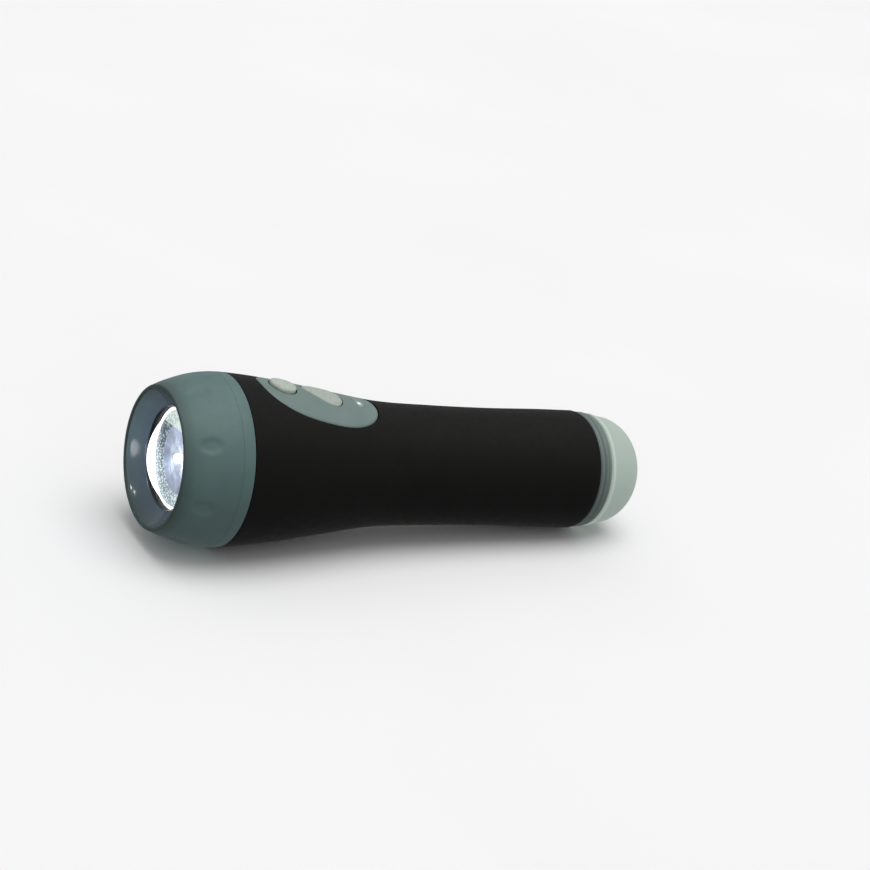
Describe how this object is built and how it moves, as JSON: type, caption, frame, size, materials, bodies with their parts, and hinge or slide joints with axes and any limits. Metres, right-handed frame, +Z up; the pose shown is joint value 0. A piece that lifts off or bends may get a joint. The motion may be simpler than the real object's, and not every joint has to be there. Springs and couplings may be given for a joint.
{
  "type": "hand crank flashlight",
  "caption": "Hand torch with a wide rubber-bound lamp head, a waisted soft grip, a top control panel and a tail dome whose folding crank turns a generator.",
  "frame": {"origin": "centre of the base of the bounding box, on the surface the torch lies on", "axes": "+X from the lamp head to the tail crank (the torch's own axis dips 3.2 degrees towards the tail), +Y to its side, +Z up through the control panel"},
  "size_m": [0.188, 0.0578, 0.0578],
  "materials": {
    "bezel_rubber": "soft matte grey green",
    "ring_plastic": "smooth slate",
    "window_clear": "polished clear",
    "cone_clear": "polished clear",
    "cup_silver": "vacuum plated",
    "sleeve_rubber": "soft matte black",
    "shell_plastic": "fine texture",
    "panel_plastic": "satin grey",
    "button_rubber": "soft light grey",
    "band_plastic": "satin grey",
    "dome_plastic": "smooth light grey",
    "knob_plastic": "satin grey green",
    "seal_rubber": "black",
    "steel": "plain",
    "brass": "plain",
    "copper_winding": "enamelled copper wire",
    "aluminium": "cast",
    "board": "solder mask",
    "chip_plastic": "moulded",
    "cell_wrap": "shrink wrap over a metal can",
    "nylon": "natural",
    "wire_red": "insulation",
    "wire_black": "insulation",
    "magnet_ferrite": "sintered",
    "led_yellow": "silicone dome"
  },
  "bodies": {
    "torch": {"bezel_boot": "bezel_rubber", "bezel_ring": "ring_plastic", "lens": "window_clear", "lens_seal": "seal_rubber", "optic_holder": "cup_silver", "collimator": "cone_clear", "led_emitter": "led_yellow", "led_board": "board", "led_screw_left": "steel", "led_screw_right": "steel", "heat_sink": "aluminium", "bezel_seal": "seal_rubber", "grip_sleeve": "sleeve_rubber", "shell_upper": "shell_plastic", "shell_lower": "shell_plastic", "control_panel": "panel_plastic", "indicator_lens": "cone_clear", "indicator_led": "led_yellow", "inner_frame": "nylon", "switch_board": "board", "switch_power": "chip_plastic", "switch_mode": "chip_plastic", "battery_holder": "shell_plastic", "cell_top": "cell_wrap", "cell_left": "cell_wrap", "cell_right": "cell_wrap", "contact_front": "brass", "contact_rear": "brass", "main_board": "board", "driver_chip": "chip_plastic", "inductor": "chip_plastic", "capacitor": "aluminium", "led_wire_left": "wire_red", "led_wire_right": "wire_black", "generator_plate": "nylon", "bearing_front": "brass", "stator": "steel", "coil": "copper_winding", "gear_plate": "nylon", "bearing_rear": "brass", "idler_pin": "steel", "tail_collar": "band_plastic", "crank_bush": "brass", "thrust_washer": "nylon"},
    "crank": {"crank_dome": "dome_plastic", "crank_hub": "shell_plastic", "crank_shaft": "steel", "ring_gear": "nylon", "retaining_clip": "steel", "dome_screw_left": "steel", "dome_screw_right": "steel", "hinge_pin": "steel"},
    "arm": {"crank_arm": "dome_plastic", "knob_axle": "steel"},
    "handle_knob": {"knob": "knob_plastic"},
    "idler": {"idler_gear": "nylon"},
    "rotor": {"magnet": "magnet_ferrite", "rotor_shaft": "steel"},
    "power_button": {"button_power": "button_rubber"},
    "mode_button": {"button_mode": "button_rubber"}
  },
  "joints": [
    {"name": "crank_spin", "type": "hinge", "parent": "torch", "child": "crank", "pos_m": [0.07204, 0, 0.02091], "axis": [0.9984, 0, -0.0557], "continuous": true},
    {"name": "arm_fold", "type": "hinge", "parent": "crank", "child": "arm", "pos_m": [0.08681, 0.00513, 0.03062], "axis": [0.0244, -0.8988, 0.4377], "range_deg": [0, 180]},
    {"name": "knob_spin", "type": "hinge", "parent": "arm", "child": "handle_knob", "pos_m": [0.07846, -0.00504, 0.0102], "axis": [0.9984, 0, -0.0557], "continuous": true},
    {"name": "idler_spin", "type": "hinge", "parent": "torch", "child": "idler", "pos_m": [0.05658, 0, 0.01301], "axis": [0.9984, 0, -0.0557], "continuous": true},
    {"name": "rotor_spin", "type": "hinge", "parent": "torch", "child": "rotor", "pos_m": [0.05707, 0, 0.02175], "axis": [0.9984, 0, -0.0557], "continuous": true},
    {"name": "power_press", "type": "slide", "parent": "torch", "child": "power_button", "axis": [-0.0557, 0, -0.9984], "range_m": [0, 0.0009], "stiffness_N_per_m": 300, "springref_m": -0.0015},
    {"name": "mode_press", "type": "slide", "parent": "torch", "child": "mode_button", "axis": [-0.0557, 0, -0.9984], "range_m": [0, 0.0009], "stiffness_N_per_m": 300, "springref_m": -0.0015}
  ],
  "couplings": [
    {"joint": "idler_spin", "follows": "crank_spin", "ratio": 3.2727},
    {"joint": "rotor_spin", "follows": "crank_spin", "ratio": -8.4156}
  ]
}
